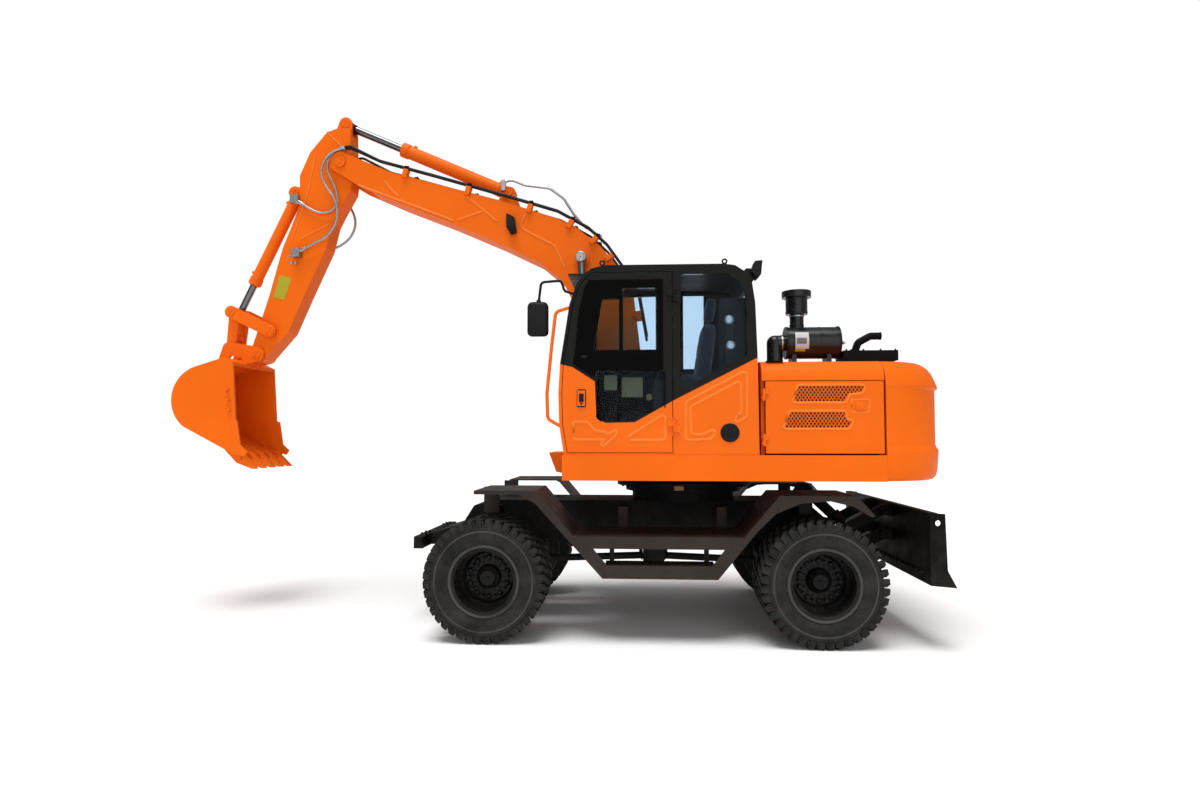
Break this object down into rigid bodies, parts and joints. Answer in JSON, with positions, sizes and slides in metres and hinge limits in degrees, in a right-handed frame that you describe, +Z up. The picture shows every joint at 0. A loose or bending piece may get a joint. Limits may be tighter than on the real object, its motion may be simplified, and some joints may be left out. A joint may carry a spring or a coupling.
{
  "type": "wheeled excavator",
  "caption": "Wheeled excavator with twin tyres, rear blade, closed cab, one-piece bent boom, arm and toothed bucket.",
  "frame": {"origin": "on the ground, under the middle of the machine as it stands parked with its boom ahead", "axes": "+X to the rear of the machine, +Y to its right, +Z up; the boom and bucket lie towards -X"},
  "size_m": [7.2295, 2.422, 5.0098],
  "materials": {
    "orange_paint": "gloss orange paint",
    "dark_frame": "satin black paint",
    "step_paint": "satin brown-black paint",
    "tyre": "black rubber",
    "rim": "black painted wheel",
    "chrome_rod": "hard chrome",
    "cast": "dark cast iron",
    "glass": "tinted glass",
    "cab_paint": "gloss black and orange paint",
    "seat_cloth": "dark seat fabric",
    "black_plastic": "black plastic",
    "engine_grey": "grey cast iron",
    "hose": "black hose"
  },
  "bodies": {
    "chassis": {"chassis_frame": "dark_frame", "front_beam": "dark_frame", "step_frame_left": "step_paint", "step_frame_right": "step_paint", "front_axle": "cast", "rear_axle": "cast", "drive_line": "cast", "slew_ring": "dark_frame"},
    "knuckle_left": {"knuckle_left": "cast"},
    "knuckle_right": {"knuckle_right": "cast"},
    "tie_rod": {"tie_rod": "cast"},
    "blade_arms": {"blade_arms": "dark_frame"},
    "blade_links": {"blade_links": "dark_frame"},
    "blade": {"blade": "dark_frame"},
    "blade_barrels": {"blade_barrel": "dark_frame"},
    "blade_rods": {"blade_rod": "chrome_rod"},
    "platform": {"platform": "orange_paint", "counterweight": "orange_paint", "cab_shell": "cab_paint", "cab_glass": "glass", "seat": "seat_cloth", "cab_controls": "black_plastic", "engine_cover": "orange_paint", "engine_block": "engine_grey", "air_cleaner": "black_plastic", "exhaust": "dark_frame", "tank": "orange_paint", "handrail": "orange_paint", "mirror_left": "black_plastic", "roof_lamp": "black_plastic"},
    "cab_door": {"cab_door": "cab_paint", "door_glass": "glass"},
    "side_door_left": {"side_door_left": "orange_paint"},
    "side_door_right": {"side_door_right": "orange_paint"},
    "boom": {"boom": "orange_paint", "boom_lines": "hose", "boom_lamp": "black_plastic", "arm_hose_outer": "hose", "arm_hose_inner": "hose", "arm_hose_right": "hose"},
    "boom_barrels": {"boom_barrel": "orange_paint"},
    "boom_rods": {"boom_rod": "chrome_rod"},
    "arm": {"arm": "orange_paint", "arm_ports": "cast"},
    "arm_barrel": {"arm_barrel": "orange_paint"},
    "arm_rod": {"arm_rod": "chrome_rod"},
    "bucket_barrel": {"bucket_barrel": "orange_paint"},
    "bucket_rod": {"bucket_rod": "chrome_rod"},
    "rocker": {"rocker": "orange_paint"},
    "bucket_link": {"bucket_link": "orange_paint"},
    "bucket": {"bucket": "orange_paint"},
    "wheel_front_left": {"tyres_front_left": "tyre", "rims_front_left": "rim"},
    "wheel_front_right": {"tyres_front_right": "tyre", "rims_front_right": "rim"},
    "wheel_rear_left": {"tyres_rear_left": "tyre", "rims_rear_left": "rim"},
    "wheel_rear_right": {"tyres_rear_right": "tyre", "rims_rear_right": "rim"}
  },
  "joints": [
    {"name": "steer_left", "type": "hinge", "parent": "chassis", "child": "knuckle_left", "pos_m": [-0.334, -0.56, 0.518], "axis": [0, 0, 1], "range_deg": [-30, 30]},
    {"name": "steer_right", "type": "hinge", "parent": "chassis", "child": "knuckle_right", "pos_m": [-0.334, 0.56, 0.518], "axis": [0, 0, 1], "range_deg": [-31, 31]},
    {"name": "tie_rod_shift", "type": "slide", "parent": "chassis", "child": "tie_rod", "axis": [0, 1, 0], "range_m": [-0.125, 0.125]},
    {"name": "spin_front_left", "type": "hinge", "parent": "knuckle_left", "child": "wheel_front_left", "pos_m": [-0.334, -0.93, 0.518], "axis": [0, 1, 0], "continuous": true},
    {"name": "spin_rear_left", "type": "hinge", "parent": "chassis", "child": "wheel_rear_left", "pos_m": [2.466, -0.93, 0.518], "axis": [0, 1, 0], "continuous": true},
    {"name": "spin_front_right", "type": "hinge", "parent": "knuckle_right", "child": "wheel_front_right", "pos_m": [-0.334, 0.93, 0.518], "axis": [0, 1, 0], "continuous": true},
    {"name": "spin_rear_right", "type": "hinge", "parent": "chassis", "child": "wheel_rear_right", "pos_m": [2.466, 0.93, 0.518], "axis": [0, 1, 0], "continuous": true},
    {"name": "blade_lift", "type": "hinge", "parent": "chassis", "child": "blade_arms", "pos_m": [2.706, 0, 0.56], "axis": [0, -1, 0], "range_deg": [-60, 0]},
    {"name": "blade_link_turn", "type": "hinge", "parent": "chassis", "child": "blade_links", "pos_m": [2.706, 0, 0.78], "axis": [0, -1, 0], "range_deg": [-61, 1]},
    {"name": "blade_level", "type": "hinge", "parent": "blade_arms", "child": "blade", "pos_m": [3.226, 0, 0.83], "axis": [0, -1, 0], "range_deg": [-1, 61]},
    {"name": "blade_barrel_turn", "type": "hinge", "parent": "chassis", "child": "blade_barrels", "pos_m": [2.561, 0, 1.225], "axis": [0, -1, 0], "range_deg": [-19, 2]},
    {"name": "blade_rod_slide", "type": "slide", "parent": "blade_barrels", "child": "blade_rods", "axis": [0.7263, 0, -0.6874], "range_m": [-0.01, 0.34]},
    {"name": "slew", "type": "hinge", "parent": "chassis", "child": "platform", "pos_m": [1.386, 0, 1.3], "axis": [0, 0, 1], "continuous": true},
    {"name": "cab_door_swing", "type": "hinge", "parent": "platform", "child": "cab_door", "pos_m": [1.256, -1.204, 2.3], "axis": [0, 0, 1], "range_deg": [0, 165]},
    {"name": "side_door_left_swing", "type": "hinge", "parent": "platform", "child": "side_door_left", "pos_m": [1.991, -1.194, 1.9], "axis": [0, 0, 1], "range_deg": [-95, 0]},
    {"name": "side_door_right_swing", "type": "hinge", "parent": "platform", "child": "side_door_right", "pos_m": [1.991, 1.194, 1.9], "axis": [0, 0, -1], "range_deg": [-95, 0]},
    {"name": "boom_lift", "type": "hinge", "parent": "platform", "child": "boom", "pos_m": [1.016, 0, 1.791], "axis": [0, 1, 0], "range_deg": [-72, 20]},
    {"name": "boom_barrel_turn", "type": "hinge", "parent": "platform", "child": "boom_barrels", "pos_m": [0.466, 0, 1.65], "axis": [0, 1, 0], "range_deg": [-80, 23]},
    {"name": "boom_rod_slide", "type": "slide", "parent": "boom_barrels", "child": "boom_rods", "axis": [-0.0378, 0, 0.9993], "range_m": [-0.66, 0.19]},
    {"name": "arm_swing", "type": "hinge", "parent": "boom", "child": "arm", "pos_m": [-2.069, 0, 4.512], "axis": [0, -1, 0], "range_deg": [-50, 45], "deforming": ["arm_hose_outer", "arm_hose_inner", "arm_hose_right"]},
    {"name": "arm_barrel_turn", "type": "hinge", "parent": "boom", "child": "arm_barrel", "pos_m": [-0.353, 0, 4.195], "axis": [0, -1, 0], "range_deg": [-5, 5]},
    {"name": "arm_rod_slide", "type": "slide", "parent": "arm_barrel", "child": "arm_rod", "axis": [-0.9154, 0, 0.4025], "range_m": [-0.34, 0.31]},
    {"name": "bucket_curl", "type": "hinge", "parent": "arm", "child": "bucket", "pos_m": [-2.914, 0, 2.562], "axis": [0, -1, 0], "range_deg": [-60, 110]},
    {"name": "rocker_turn", "type": "hinge", "parent": "arm", "child": "rocker", "pos_m": [-2.767, 0, 2.792], "axis": [0, -1, 0], "range_deg": [-41, 73]},
    {"name": "bucket_link_turn", "type": "hinge", "parent": "rocker", "child": "bucket_link", "pos_m": [-3.174, 0, 2.99], "axis": [0, -1, 0], "range_deg": [-35, 20]},
    {"name": "bucket_barrel_turn", "type": "hinge", "parent": "arm", "child": "bucket_barrel", "pos_m": [-2.574, 0, 4.235], "axis": [0, -1, 0], "range_deg": [-4, 6]},
    {"name": "bucket_rod_slide", "type": "slide", "parent": "bucket_barrel", "child": "bucket_rod", "axis": [-0.4341, 0, -0.9008], "range_m": [-0.28, 0.5]}
  ],
  "couplings": [
    {"joint": "steer_right", "follows": "steer_left", "ratio": 1},
    {"joint": "tie_rod_shift", "follows": "steer_left", "m_per_rad": 0.2246},
    {"joint": "blade_link_turn", "follows": "blade_lift", "ratio": 1},
    {"joint": "blade_level", "follows": "blade_lift", "ratio": -1},
    {"joint": "blade_barrel_turn", "follows": "blade_lift", "ratio": 0.2875},
    {"joint": "blade_rod_slide", "follows": "blade_lift", "m_per_rad": -0.3163},
    {"joint": "boom_barrel_turn", "follows": "boom_lift", "ratio": 1.0933},
    {"joint": "boom_rod_slide", "follows": "boom_lift", "m_per_rad": 0.5131},
    {"joint": "arm_barrel_turn", "follows": "arm_swing", "ratio": 0.0702},
    {"joint": "arm_rod_slide", "follows": "arm_swing", "m_per_rad": 0.3729},
    {"joint": "rocker_turn", "follows": "bucket_curl", "ratio": 0.6426},
    {"joint": "bucket_link_turn", "follows": "bucket_curl", "ratio": -0.3039},
    {"joint": "bucket_barrel_turn", "follows": "bucket_curl", "ratio": 0.044},
    {"joint": "bucket_rod_slide", "follows": "bucket_curl", "m_per_rad": 0.2526}
  ]
}
